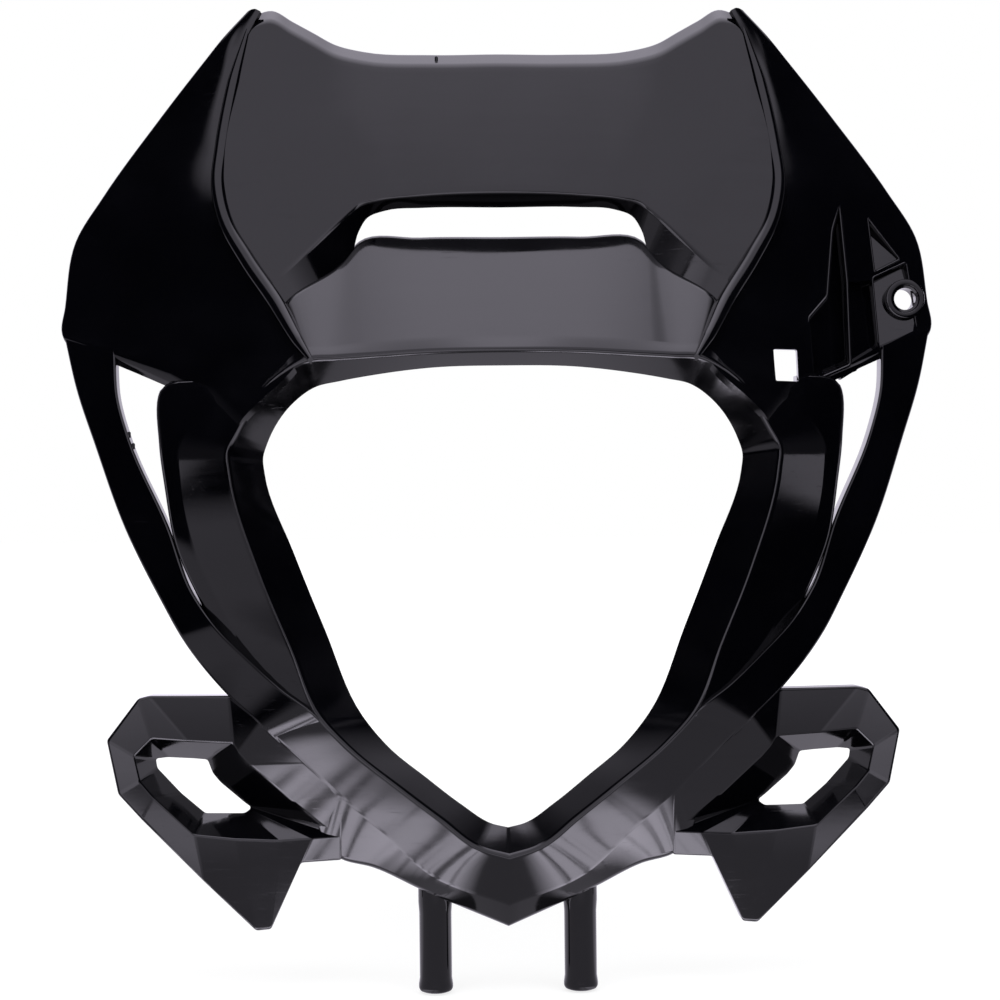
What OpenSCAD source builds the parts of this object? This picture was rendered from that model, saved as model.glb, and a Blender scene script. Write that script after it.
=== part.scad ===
// Headlight cowl: one moulded shell that frames a motorbike headlight.
// Millimetres. X runs across, Y runs rearward, Z runs up. The rails are drawn with zero at
// the middle of the brow's front edge, and the finished shell is moved onto its pegs' seat.

/* [Overall] */
// Width across the widest points of the wings
cowl_w = 334; // [280:1:400]
// Height of the horn tips above the lens opening
horn_h = 139; // [110:1:170]
// Depth from the brow's front edge back to the edge of the wings
wing_d = 50; // [40:1:65]
// Wall of the moulding
wall = 2.8; // [2:0.1:4]
// Width of the turned-back flange along the free edges
flange_d = 8; // [5:0.5:12]

/* [Lens opening] */
// Width of the lens opening
lens_w = 177; // [150:1:200]
// Height of the lens opening
lens_h = 170; // [140:1:200]
// How far the lens opening lies behind the rim around it
bezel_d = 13; // [8:0.5:18]
// How far the point of the chin hangs below the lens opening
chin_h = 39; // [28:1:50]

/* [Ridges] */
// Width of the ridge bead beside the number plate
bead_w = 5; // [4:0.2:7]
// How far the ridge bead stands proud of the wing
bead_h = 2.5; // [1.5:0.1:4]

/* [Vents] */
// Depth of the lamp side vents in the winglets
vent_d = 13; // [8:0.5:18]
// Height of the slot between number plate and brow
slot_h = 10.5; // [8:0.5:14]

/* [Pegs] */
// Diameter of the two locating pegs
peg_dia = 12; // [9:0.1:14]
// Distance between the peg axes
peg_spacing = 54; // [46:1:64]
// How far the pegs reach below the point of the chin
peg_reach = 25; // [18:1:36]
// How far the pegs lie behind the brow's front edge
peg_back = 26; // [24:0.5:28]
// How far the grommets on the pegs lie below the point of the chin
seat_drop = 12; // [8:1:16]
// How far the thicker root of each peg begins above the point of the chin
root_rise = 6.5; // [4:0.5:7]
// How much thicker the root is than the peg, all around
root_step = 0.3; // [0.2:0.1:1]

/* [Pocket in the wing] */
// Depth of the pocket below the face of the wing
pocket_d = 7; // [4:0.5:10]
// Depth of the seat that carries the screw boss
seat_d = 2; // [1:0.25:4]
// Diameter of the screw hole
screw_dia = 8.4; // [6:0.1:10]
// Diameter of the round boss around the screw hole
boss_dia = 15; // [12:0.5:18]
// How far the boss stands proud of its seat
boss_h = 3.2; // [2:0.2:5]
// Width of the rectangular window beside the bezel
window_w = 9.5; // [7:0.5:12]
// Height of the rectangular window beside the bezel
window_h = 12; // [9:0.5:15]

/* [Hidden] */

black = [0.09, 0.09, 0.1];
steps = 3;
tiny = 0.001;
least_lean = 0.6;

// Sizes at which the rails below were drawn. They follow the sizes above when placed.
drawn_lens_w = 177;
drawn_rim_x = 101;
drawn_lens_top = 49;
drawn_lens_bottom = -121;
drawn_horn_h = 139;
drawn_chin_h = 39;
drawn_d = 50;

lens_kx = lens_w / drawn_lens_w;
lens_kz = lens_h / (drawn_lens_top - drawn_lens_bottom);
rim_x = drawn_rim_x * lens_kx;
lens_top = drawn_lens_top * lens_kz;
lens_bottom = drawn_lens_bottom * lens_kz;

function wing_k() =
    (cowl_w / 2 - rim_x) / (max([for (row = wing_rows) row[3][0]]) - drawn_rim_x);
function across(x) = abs(x) < drawn_rim_x
    ? x * lens_kx
    : sign(x) * (rim_x + (abs(x) - drawn_rim_x) * wing_k());
function upward(z) = z > drawn_lens_top
    ? lens_top + (z - drawn_lens_top) * horn_h / drawn_horn_h
    : z < drawn_lens_bottom
    ? lens_bottom + (z - drawn_lens_bottom) * chin_h / drawn_chin_h
    : z * lens_kz;
function rearward(y) = y * wing_d / drawn_d;
function place(p) = [across(p[0]), rearward(p[1]), upward(p[2])];
function places(rail) = [for (p = rail) place(p)];

// Curves through the points of a rail
function unit(v) = norm(v) < tiny ? [0, 0, 0] : v / norm(v);
function tangent(rail, i) =
    i == 0 ? unit(rail[1] - rail[0]) :
    i == len(rail) - 1 ? unit(rail[i] - rail[i - 1]) :
    let (a = norm(rail[i] - rail[i - 1]), b = norm(rail[i + 1] - rail[i]))
    (unit(rail[i] - rail[i - 1]) * b + unit(rail[i + 1] - rail[i]) * a) / max(a + b, tiny);
function on_span(p, q, m, n, t) = let (d = norm(q - p))
    p * (2 * t * t * t - 3 * t * t + 1) + q * (3 * t * t - 2 * t * t * t)
    + m * d * (t * t * t - 2 * t * t + t) + n * d * (t * t * t - t * t);
function smooth(rail, n = steps) = concat(
    [for (i = [0 : len(rail) - 2], s = [0 : n - 1])
        on_span(rail[i], rail[i + 1], tangent(rail, i), tangent(rail, i + 1), s / n)],
    [rail[len(rail) - 1]]);
function mix(a, b, t) = a + (b - a) * t;
function flip(p) = [-p[0], p[1], p[2]];
function whole(half) = concat([for (i = [len(half) - 1 : -1 : 1]) flip(half[i])], half);
function loop(half) = concat(half, [for (i = [len(half) - 2 : -1 : 1]) flip(half[i])]);
function back_by(rail, d) = [for (p = rail) p + [0, d, 0]];
function turned(grid) = [for (j = [0 : len(grid[0]) - 1]) [for (row = grid) row[j]]];

// A sheet of even wall through a grid of points, with its face toward the viewer
function cell_normal(g, i, j, c) = let (k = (j + 1) % c)
    unit(cross(g[i + 1][k] - g[i][j], g[i + 1][j] - g[i][k]));
function cells_at(i, j, r, c, closed) = [
    for (a = [i - 1, i], b = [j - 1, j])
        if (a >= 0 && a < r - 1 && (closed || (b >= 0 && b < c - 1)))
            [a, (b + c) % c]];
function inner_point(g, i, j, r, c, closed, t) =
    let (all = [for (s = cells_at(i, j, r, c, closed)) cell_normal(g, s[0], s[1], c)],
         n = unit([for (k = [0 : 2]) total([for (v = all) v[k]])]),
         lean = total([for (v = all) n * v]) / len(all))
    g[i][j] - n * t / max(lean, least_lean);
function total(list) = len(list) == 0 ? 0 : list * [for (v = list) 1];

module sheet(g, closed = false, t = wall) {
    r = len(g);
    c = len(g[0]);
    last = closed ? c - 1 : c - 2;
    face = [for (row = g, p = row) p];
    inside = [for (i = [0 : r - 1], j = [0 : c - 1]) inner_point(g, i, j, r, c, closed, t)];
    n = r * c;
    quads = concat(
        [for (i = [0 : r - 2], j = [0 : last]) let (k = (j + 1) % c)
            [i * c + j, (i + 1) * c + j, (i + 1) * c + k, i * c + k]],
        [for (i = [0 : r - 2], j = [0 : last]) let (k = (j + 1) % c)
            [n + i * c + j, n + i * c + k, n + (i + 1) * c + k, n + (i + 1) * c + j]],
        [for (j = [0 : last]) let (k = (j + 1) % c) [j, k, n + k, n + j]],
        [for (j = [0 : last]) let (k = (j + 1) % c, e = (r - 1) * c)
            [e + k, e + j, n + e + j, n + e + k]],
        closed ? [] : [for (i = [0 : r - 2])
            [i * c, n + i * c, n + (i + 1) * c, (i + 1) * c]],
        closed ? [] : [for (i = [0 : r - 2]) let (e = c - 1)
            [(i + 1) * c + e, n + (i + 1) * c + e, n + i * c + e, i * c + e]]);
    all = concat(face, inside);
    polyhedron(points = all, faces = [for (q = quads) each halved(q, all)], convexity = 8);
}

// A quad as two triangles, cut along its shorter diagonal
function halved(q, at) = norm(at[q[0]] - at[q[2]]) <= norm(at[q[1]] - at[q[3]])
    ? [[q[0], q[1], q[2]], [q[0], q[2], q[3]]]
    : [[q[1], q[2], q[3]], [q[1], q[3], q[0]]];

// A solid through closed rings of points
module tube(rings) {
    r = len(rings);
    c = len(rings[0]);
    quads = [for (i = [0 : r - 2], j = [0 : c - 1]) let (k = (j + 1) % c)
        [i * c + j, i * c + k, (i + 1) * c + k, (i + 1) * c + j]];
    all = [for (ring = rings, p = ring) p];
    polyhedron(
        points = all,
        faces = concat(
            [for (q = quads) each halved(q, all)],
            [for (j = [1 : c - 2]) [0, j + 1, j]],
            [for (j = [1 : c - 2]) let (e = (r - 1) * c) [e, e + j, e + j + 1]]),
        convexity = 8);
}

module both_sides() {
    children();
    mirror([1, 0, 0]) children();
}

// Lens surround: bezel, rim, brow, side columns and chin in one ring.
// Each row is [lens edge, rim, crease, outer edge] at one station, from top centre to chin.
ring_rows = [
    [[0, 0, 49], [0, 0, 54], [0, 4, 59], [0, 32, 99]],
    [[26, 1, 48.5], [27, 1, 53.5], [29, 4, 58.5], [30, 32, 99]],
    [[48, 2, 46], [48, 2, 52.5], [50, 5, 57], [53, 31, 97.5]],
    [[60, 3, 44], [61, 3, 52], [61, 6, 56], [59, 29, 90]],
    [[69, 4, 42], [71, 4, 51.5], [73, 8, 56], [81, 21, 73]],
    [[77, 5, 36.5], [82, 5, 46], [85, 12, 48], [92, 22, 48]],
    [[87, 6, 21.5], [97, 6, 25], [106, 18, 28], [122, 27, 34]],
    [[88.5, 6, 16.5], [100.5, 6, 18], [120.5, 24, 19], [127, 27, 20]],
    [[88, 6, 10.5], [100, 6, 11], [120, 24, 8], [126, 27, 6]],
    [[77.5, 6, -19], [89.5, 6, -26], [114, 22, -19], [122.5, 26, -14]],
    [[66.5, 6, -47], [78, 6, -54], [100, 19, -48], [110, 24, -43]],
    [[53, 6, -79], [68, 6, -77.5], [90, 14, -79], [95, 22, -80]],
    [[43, 5, -91], [58, 5, -88.5], [74, 13, -95.5], [78, 22, -102]],
    [[30, 4, -101.5], [39, 4, -104], [60, 11, -108], [61.5, 22, -132.5]],
    [[17, 3, -111.5], [24, 3, -115.5], [45, 10, -121], [50, 21, -135.5]],
    [[6, 2, -118.5], [10, 2, -126], [28, 10, -136.5], [32.5, 19, -143.5]],
    [[0, 2, -120], [0, 2, -129], [0, 9, -147.5], [0, 18, -157.5]]];
// Share of the bezel depth at each station, from shallow at the top to full at the sides
bezel_share = [0.7, 0.7, 0.75, 0.8, 0.85, 0.9, 1, 1, 1, 1, 1, 1, 1, 0.95, 0.9, 0.9, 0.9];

module lens_surround() {
    rails = turned([for (row = ring_rows) places(row)]);
    lens = [for (i = [0 : len(rails[0]) - 1]) rails[0][i] + [0, bezel_d * bezel_share[i], 0]];
    halves = [lens, rails[1], rails[2], rails[3], back_by(rails[3], flange_d)];
    sheet([for (h = halves) loop(smooth(h))], closed = true);
}

// Number plate between the horns, with its undercut wall above the slot
plate_top = [[0, 41, 171], [25, 42, 171], [51, 43, 172.5], [62, 44, 175.5],
    [70, 44.5, 180], [78, 45, 184.5], [86, 46, 189], [95, 46.5, 186.5]];
plate_low = [[0, 22, 114], [31, 23, 113], [45, 23, 111.5], [52, 24, 110],
    [56, 24, 107], [60, 24, 103.5], [72, 24.5, 92.5], [87, 25, 80]];
plate_under = [[0, 30, 0], [29, 30, 0], [43, 30, -1], [49.5, 30, -3.5],
    [53, 29.5, -9], [55.5, 29.5, -17], [67, 26.5, -26.5], [82, 22, -37.5]];
fold_h = 5.5;
fold_d = 7;
plate_bulge = 16;
bulge_low = 1.2;
plate_rows = 8;

module number_plate() {
    top = places(plate_top);
    low = places(plate_low);
    slot_top = upward(ring_rows[0][3][2]) + slot_h;
    under = [for (p = plate_under) [across(p[0]), rearward(p[1]), slot_top + p[2]]];
    n = len(top) - 1;
    face = [for (i = [plate_rows : -1 : 0]) [for (j = [0 : n])
        mix(top[j] - [0, 0, fold_h], low[j], i / plate_rows)
        + [plate_bulge * lens_kx * sin(180 * pow(i / plate_rows, bulge_low)) * j / n, 0, 0]]];
    fold = back_by(top, fold_d);
    rows = concat([under], face, [fold, back_by(fold, flange_d / 2)]);
    sheet([for (row = rows) whole(row)]);
}

// Ridge bead from the horn tip down to the corner of the brow
bead_line = [[94.5, 46.5, 181], [100, 43, 159], [104.5, 38, 132], [105.5, 35, 120],
    [102.5, 31, 105], [94, 25.5, 89.5], [83, 18, 73], [75, 9, 59], [70, 3.5, 51.5]];
bead_share = [0.25, 1, 1.1, 1.1, 1.1, 1.2, 1.2, 0.9, 0.4];
bead_shoulder = 0.4;

module ridge_bead() {
    line = smooth(places(bead_line));
    share = [for (v = smooth([for (s = bead_share) [s, 0, 0]])) v[0]];
    rings = [for (i = [0 : len(line) - 1])
        let (t = tangent(line, i), side = unit(cross([0, -1, 0], t)), out = cross(t, side),
             w = bead_w / 2 * share[i], h = bead_h * share[i])
        [for (q = [[-w, -wall], [-w, bead_shoulder * h], [-w / 2, h],
            [w / 2, h], [w, bead_shoulder * h], [w, -wall]])
            line[i] + side * q[0] + out * q[1]]];
    tube(rings);
}

// Wing beside the ridge: each row runs from the ridge out to the free edge
wing_rows = [
    [[90, 46, 187], [92, 46.5, 188], [93.5, 47.5, 188], [95, 48.5, 187.5]],
    [[96, 45, 175], [99, 46, 177], [102, 47, 178], [104.5, 48.8, 177.5]],
    [[100.5, 43, 157], [104, 44, 161], [108, 46, 165], [111.5, 49, 169]],
    [[104.5, 38, 131], [113, 41, 136], [122, 45, 141], [130.5, 49.5, 145]],
    [[104.5, 33, 113], [119, 37, 114], [136, 43, 115.5], [151, 49.5, 117]],
    [[96, 26.5, 93], [117, 34, 96], [139, 42, 98], [161.5, 49.5, 100]],
    [[83, 18, 73], [111, 29, 73.5], [139, 39, 74], [165.5, 48, 75]],
    [[73.5, 7.5, 55], [104, 22, 58], [137, 36, 61], [167, 46.5, 65]],
    [[98, 8, 27.5], [110, 20, 37], [137, 34, 50.5], [165.5, 45.5, 62]],
    [[100, 11, 23], [112, 24, 32], [137, 38, 45], [163.5, 48, 57]]];

module wing() {
    rails = turned([for (row = wing_rows) places(row)]);
    free = rails[3];
    sheet([for (rail = [rails[0], rails[1], rails[2], free, back_by(free, flange_d)])
        smooth(rail)]);
}

// Strut from the wing down to the chin: rows of [outer edge, inner edge]
strut_rows = [
    [[165.5, 46, 64], [145, 38, 57]],
    [[160.5, 43, 43], [144, 37, 40]],
    [[153.5, 40, 22.5], [139.5, 35, 24]],
    [[141.5, 34, -9.5], [124.5, 29.5, -9]],
    [[127.5, 29, -37], [115.5, 25, -33]],
    [[120, 26, -50], [107, 19, -45]],
    [[102.5, 20, -71], [94, 13, -57.5]],
    [[92, 15, -80], [81, 8, -68.5]],
    [[88, 14, -84], [70, 5.5, -76.5]],
    [[82, 15, -90], [64, 8, -84]]];

module strut() {
    rails = turned([for (row = strut_rows) places(row)]);
    sheet([for (rail = [back_by(rails[1], flange_d), rails[1], rails[0],
        back_by(rails[0], flange_d)]) smooth(rail)]);
}

// Winglet beside the chin: rows of [vent hole, recess, outline] around the vent
winglet_rows = [
    [[112, 25, -96.5], [101, 24, -89], [102, 20, -71]],
    [[117, 25, -96], [118, 25, -88], [132, 24, -71]],
    [[127, 26, -95.5], [131.5, 26, -87], [136, 24, -72]],
    [[131.5, 26, -96], [138, 26, -93.5], [148, 26, -87.5]],
    [[131, 26, -99.5], [136, 27, -103], [144, 26, -107.5]],
    [[122, 25, -109], [131, 27, -109], [135.5, 26, -117]],
    [[113, 24, -116.5], [116, 26, -123], [112.5, 26, -140.5]],
    [[104, 23, -116.5], [100, 24, -124.5], [93.5, 26, -159]],
    [[98, 22.5, -116.5], [84, 23, -125], [88, 26, -158.5]],
    [[96, 22.5, -115], [72, 21, -124], [76.5, 23, -133.5]],
    [[96, 22.5, -114], [61.5, 18, -123], [61.5, 21.7, -132.5]],
    [[98, 22.5, -112.5], [79.5, 21, -110], [60, 11, -108]],
    [[107, 23.5, -105], [94.5, 22, -96.5], [74, 13, -95.5]],
    [[110, 24, -101.5], [99, 23.5, -92], [90, 14.5, -80]]];

module winglet() {
    rails = turned([for (row = winglet_rows) places(row)]);
    sheet([back_by(rails[0], vent_d), rails[1], rails[2], back_by(rails[2], flange_d)],
        closed = true);
}

// Locating pegs below the chin, each with a root and a rib behind the chin
peg_y = peg_back;
chin_z = upward(ring_rows[len(ring_rows) - 1][3][2]);
rib_top = upward(-126);
rib_front = 11;
rib_h = 8;
peg_tip_r = 2;

module peg() {
    r = peg_dia / 2;
    tip_z = chin_z - peg_reach;
    shank_h = peg_reach + root_rise;
    translate([peg_spacing / 2, peg_y, tip_z])
        rotate_extrude($fn = 40)
            union() {
                translate([0, peg_tip_r]) square([r, shank_h - peg_tip_r]);
                translate([0, shank_h]) square([r + root_step, rib_top - tip_z - shank_h]);
                square([r - peg_tip_r, peg_tip_r + 1]);
                intersection() {
                    translate([r - peg_tip_r, peg_tip_r]) circle(peg_tip_r, $fn = 20);
                    square([r, peg_tip_r]);
                }
            }
    translate([peg_spacing / 2 - wall / 2, rearward(rib_front), rib_top - rib_h])
        cube([wall, peg_y - rearward(rib_front), rib_h]);
}

// Recesses in the right wing, seen from the front, as [across, upward]
pocket_outline = [[130, 112], [132, 82], [132, 49.5], [121, 45], [116.5, 44], [115.5, 67],
    [123.5, 75.5], [126.5, 101]];
step_outline = [[131, 82], [142.5, 83], [144, 56.5], [131, 49]];
wedge_outline = [[141.5, 107], [154.5, 91], [143.5, 85.5]];
seat_outline = [[142.5, 83.5], [157, 90], [160.5, 62.5], [144, 55.5]];
screw_at = [155.5, 75.5];
window_at = [105.5, 49];

// Plane of the right wing around the pocket, through three points of its rows
plane_at = place(wing_rows[6][1]);
along = place(wing_rows[6][3]) - plane_at;
above = place(wing_rows[5][2]) - plane_at;
turn = along[0] * above[2] - along[2] * above[0];
sweep = (along[1] * above[2] - along[2] * above[1]) / turn;
lean = (along[0] * above[1] - along[1] * above[0]) / turn;
plane_y = plane_at[1] - sweep * plane_at[0] - lean * plane_at[2];

module in_wing_plane() {
    multmatrix([[1, 0, 0, 0], [sweep, 1, lean, plane_y], [0, 0, 1, 0], [0, 0, 0, 1]])
        children();
}

module slab(outline, front, back, grow, flare = 1) {
    points = [for (q = outline) [across(q[0]), upward(q[1])]];
    middle = [for (k = [0, 1]) total([for (q = points) q[k]]) / len(points)];
    in_wing_plane() translate([middle[0], back, middle[1]]) rotate([90, 0, 0])
        linear_extrude(back - front, scale = flare)
            offset(delta = grow) polygon([for (q = points) (q - middle) / flare]);
}

step_share = 0.6;
recesses = [[pocket_outline, pocket_d], [step_outline, pocket_d * step_share],
    [wedge_outline, seat_d], [seat_outline, seat_d / 2]];
flare = 1.25;
back_start = 0.45;

module right_wing() {
    difference() {
        union() {
            wing();
            for (r = recesses) slab(r[0], wall * back_start, r[1] + wall, wall);
        }
        for (r = recesses) slab(r[0], -wall, r[1], 0, flare);
    }
}

module on_wing(q, d) {
    x = across(q[0]);
    z = upward(q[1]);
    translate([x, plane_y + sweep * x + lean * z + d, z]) rotate([-90, 0, 0]) children();
}

module screw_boss() {
    on_wing(screw_at, seat_d / 2 - boss_h)
        cylinder(d = boss_dia, h = boss_h + 2 * wall, $fn = 48);
}

module screw_hole() {
    on_wing(screw_at, -wing_d) cylinder(d = screw_dia, h = 2 * wing_d, $fn = 48);
}

module window() {
    on_wing(window_at, -wing_d) translate([-window_w / 2, -window_h / 2, 0])
        cube([window_w, window_h, 2 * wing_d]);
}

// All the walls together, drawn out to the exact width across the wings
module shell() {
    resize([cowl_w, 0, 0]) union() {
        lens_surround();
        number_plate();
        right_wing();
        mirror([1, 0, 0]) wing();
        both_sides() {
            ridge_bead();
            strut();
            winglet();
        }
    }
}

// Zero lies midway between the pegs, level with the grommets on them
module cowl() {
    color(black) translate([0, -peg_y, seat_drop - chin_z]) difference() {
        union() {
            shell();
            both_sides() peg();
            screw_boss();
        }
        screw_hole();
        window();
    }
}

cowl();
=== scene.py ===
"""Headlight cowl: one moulded shell in gloss black plastic, dressed around its solids."""

import math

import bmesh
import bpy
import numpy as np
from bpy.props import FloatProperty, FloatVectorProperty, PointerProperty
from mathutils import Matrix, Vector


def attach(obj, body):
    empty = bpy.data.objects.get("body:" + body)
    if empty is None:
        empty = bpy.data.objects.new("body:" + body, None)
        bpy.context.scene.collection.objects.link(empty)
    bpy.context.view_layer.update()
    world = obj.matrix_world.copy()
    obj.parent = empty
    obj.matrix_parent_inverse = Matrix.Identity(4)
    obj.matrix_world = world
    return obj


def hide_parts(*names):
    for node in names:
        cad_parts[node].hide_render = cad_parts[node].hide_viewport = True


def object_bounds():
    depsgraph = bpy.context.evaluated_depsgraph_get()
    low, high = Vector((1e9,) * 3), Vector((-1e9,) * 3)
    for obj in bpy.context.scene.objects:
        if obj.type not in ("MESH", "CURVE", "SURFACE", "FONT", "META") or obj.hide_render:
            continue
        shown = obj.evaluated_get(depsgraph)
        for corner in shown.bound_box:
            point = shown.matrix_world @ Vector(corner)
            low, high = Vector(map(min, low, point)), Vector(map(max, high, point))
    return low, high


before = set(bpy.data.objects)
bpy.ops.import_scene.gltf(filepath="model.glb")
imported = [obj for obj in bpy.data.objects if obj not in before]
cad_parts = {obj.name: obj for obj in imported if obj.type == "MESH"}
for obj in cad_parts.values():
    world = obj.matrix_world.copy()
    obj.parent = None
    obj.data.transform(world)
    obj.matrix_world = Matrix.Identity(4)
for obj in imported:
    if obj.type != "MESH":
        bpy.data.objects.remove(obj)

bl_info = {
    "name": "Headlight Cowl",
    "version": (1, 0, 0),
    "blender": (4, 5, 0),
    "location": "View3D > Sidebar > Cowl",
    "description": "Builds the visible shell of a headlight cowl and its studio",
    "category": "Object",
}

CAD_BOX = [list(corner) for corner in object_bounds()]
MM = 0.001

# In drawn millimetres: the pegs' axis, the point of the chin and the level of the grommets
PEG_Y, CHIN_Z = 26.0, -157.5
SEAT_Z = CHIN_Z - 12.0

# Steps between the points of a rail, and rows of the plate
CURVE_STEPS, PLATE_STEPS, ACROSS_STEPS, PLATE_ROWS = 8, 6, 4, 16
# Points nearer than this are one, and edges shorter than this go, in millimetres
MERGE_GAP, SLIVER_GAP = 0.02, 0.005
# Angles in degrees past which an edge is shaded sharp
SHARP_ANGLE, WING_ANGLE, WINGLET_ANGLE, RIM_ANGLE = 38.0, 30.0, 30.0, 60.0

WHITE = (1.0, 1.0, 1.0, 1.0)
DUST_COLOUR = (0.16, 0.155, 0.145, 1.0)
PLASTIC_IOR = 1.5

STUDIO_TINT = (1.0, 0.95, 1.1, 1.0)
LAMP_COLOUR = (0.94, 0.95, 1.0)
FLOOR_HALF, FLOOR_DROP, FLOOR_TONE, FLOOR_GLOW = 9, 0.0004, 0.3, 0.78
CAMERA_AT, CAMERA_YAW, CAMERA_ROLL = (-0.0284, -0.7755, 0.1695), 2.0, 0.6
SENSOR_WIDTH, CLIP_START, CLIP_END = 36.0, 0.01, 50.0

# Lens surround: [lens edge, rim, crease, outer edge] from top centre to chin
RING = [
    [[0, 0, 49], [0, 0, 54], [0, 4, 59], [0, 32, 99]],
    [[26, 1, 48.5], [27, 1, 53.5], [29, 4, 58.5], [30, 32, 99]],
    [[48, 2, 46], [48, 2, 52.5], [50, 5, 57], [53, 31, 97.5]],
    [[60, 3, 44], [61, 3, 52], [61, 6, 56], [59, 29, 90]],
    [[69, 4, 42], [71, 4, 51.5], [73, 8, 56], [81, 21, 73]],
    [[77, 5, 36.5], [82, 5, 46], [85, 12, 48], [92, 22, 48]],
    [[87, 6, 21.5], [97, 6, 25], [111, 19.5, 32], [127.5, 28, 42]],
    [[88.5, 6, 16.5], [100.5, 6, 18], [120, 23.5, 20], [128, 27.5, 22]],
    [[88, 6, 10.5], [100, 6, 11], [120, 24, 8], [126, 27, 6]],
    [[77.5, 6, -19], [89.5, 6, -26], [114, 22, -19], [122.5, 26, -14]],
    [[66.5, 6, -47], [78, 6, -54], [100, 19, -48], [110, 24, -43]],
    [[53, 6, -79], [68, 6, -77.5], [90, 14, -79], [95, 22, -80]],
    [[43, 5, -91], [58, 5, -88.5], [74, 13, -95.5], [78, 22, -102]],
    [[30, 4, -101.5], [39, 4, -104], [60, 11, -108], [61.5, 22, -132.5]],
    [[17, 3, -111.5], [24, 3, -115.5], [45, 10, -121], [50, 21, -135.5]],
    [[6, 2, -118.5], [10, 2, -126], [28, 10, -136.5], [32.5, 19, -143.5]],
    [[0, 2, -120], [0, 2, -129], [0, 9, -147.5], [0, 18, -157.5]],
]
BEZEL_SHARE = [0.7, 0.7, 0.75, 0.8, 0.85, 0.9, 1, 1, 1, 1, 1, 1, 1, 0.95, 0.9, 0.9, 0.9]

PLATE_TOP = [[0, 41, 171], [25, 42, 171], [51, 43, 172.5], [62, 44, 175.5],
             [70, 44.5, 180], [78, 45, 184.5], [86, 46, 189], [95, 46.5, 186.5]]
PLATE_LOW = [[0, 22, 114], [31, 23, 113], [45, 23, 111.5], [52, 24, 110],
             [56, 24, 107], [60, 24, 103.5], [72, 24.5, 92.5], [87, 25, 80]]
PLATE_UNDER = [[0, 30, 109.5], [29, 30, 109.5], [43, 30, 108.5], [49.5, 30, 106],
               [53, 29.5, 100.5], [55.5, 29.5, 92.5], [67, 26.5, 83], [82, 22, 72]]

BEAD = [[94.5, 46.5, 181], [100, 43, 159], [104.5, 38, 132], [105.5, 35, 120],
        [102.5, 31, 105], [94, 25.5, 89.5], [83, 18, 73], [75, 9, 59], [70, 3.5, 51.5]]
BEAD_SHARE = [0.25, 1, 1.1, 1.1, 1.1, 1.2, 1.2, 0.9, 0.4]

WING = [
    [[90, 46, 187], [92, 46.5, 188], [93.5, 47.5, 188], [95, 48.5, 187.5]],
    [[96, 45, 175], [99, 46, 177], [102, 47, 178], [104.5, 48.8, 177.5]],
    [[100.5, 43, 157], [104, 44, 161], [108, 46, 165], [111.5, 49, 169]],
    [[104.5, 38, 131], [113, 41, 136], [122, 45, 141], [130.5, 49.5, 145]],
    [[104.5, 33, 113], [119, 37, 114], [136, 43, 115.5], [151, 49.5, 117]],
    [[96, 26.5, 93], [117, 34, 96], [139, 42, 98], [161.5, 49.5, 100]],
    [[83, 18, 73], [111, 29, 73.5], [139, 39, 74], [165.5, 48, 75]],
    [[73.5, 7.5, 55], [104, 22.5, 57], [137, 36, 59.5], [166.5, 46.5, 65]],
    [[97, 7.3, 27], [112, 24, 40.5], [137, 35, 52.5], [166, 46, 63.5]],
    [[99, 11, 22.5], [113, 26.5, 37], [137, 37.5, 49], [164.5, 48, 60]],
]

STRUT = [
    [[165.5, 46, 64], [145, 38, 57]],
    [[160.5, 43, 43], [144, 37, 40]],
    [[153.5, 40, 22.5], [139.5, 35, 24]],
    [[141.5, 34, -9.5], [124.5, 29.5, -9]],
    [[127.5, 29, -37], [115.5, 25, -33]],
    [[120, 26, -50], [107, 19, -45]],
    [[102.5, 20, -71], [94, 13, -57.5]],
    [[92, 15, -80], [81, 8, -68.5]],
    [[88, 14, -84], [70, 5.5, -76.5]],
    [[82, 15, -90], [64, 8, -84]],
]

WINGLET = [
    [[112, 25, -96.5], [101, 24, -89], [102, 20, -71]],
    [[117, 25, -96], [118, 25, -88], [132, 24, -71]],
    [[127, 26, -95.5], [131.5, 26, -87], [136, 24, -72]],
    [[131.5, 26, -96], [138, 26, -93.5], [148, 26, -87.5]],
    [[131, 26, -99.5], [136, 27, -103], [144, 26, -107.5]],
    [[122, 25, -109], [131, 27, -109], [135.5, 26, -117]],
    [[113, 24, -116.5], [116, 26, -123], [112.5, 26, -140.5]],
    [[104, 23, -116.5], [100, 24, -124.5], [93.5, 26, -159]],
    [[98, 22.5, -116.5], [84, 23, -125], [88, 26, -158.5]],
    [[96, 22.5, -115], [72, 21, -124], [76.5, 23, -133.5]],
    [[96, 22.5, -114], [61.5, 18, -123], [61.5, 21.7, -132.5]],
    [[98, 22.5, -112.5], [79.5, 21, -110], [60, 11, -108]],
    [[107, 23.5, -105], [94.5, 22, -96.5], [74, 13, -95.5]],
    [[110, 24, -101.5], [99, 23.5, -92], [90, 14.5, -80]],
]

# Recesses of the pocket in the right wing, as [across, upward]
POCKET = [[130, 112], [132, 82], [132, 49.5], [121, 45], [116.5, 44], [115.5, 67],
          [123.5, 75.5], [126.5, 101]]
STEP = [[131, 82], [142.5, 83], [144, 56.5], [131, 49]]
WEDGE = [[141.5, 107], [154.5, 91], [143.5, 85.5]]
SEAT = [[142.5, 83.5], [157, 90], [160.5, 62.5], [144, 55.5]]
SCREW_AT = (155.5, 75.5)
WINDOW_AT = (105.5, 49)

# Gate nubs: where they stand, and their profile as (radius, height)
NUBS = [(-23.2, 44.8, 168.2), (-140, 37.2, 26), (-138.4, 36.6, 21.7)]
NUB_PROFILE = [(0.65, -1.2), (0.65, 0.7), (0.35, 1.1)]


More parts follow.
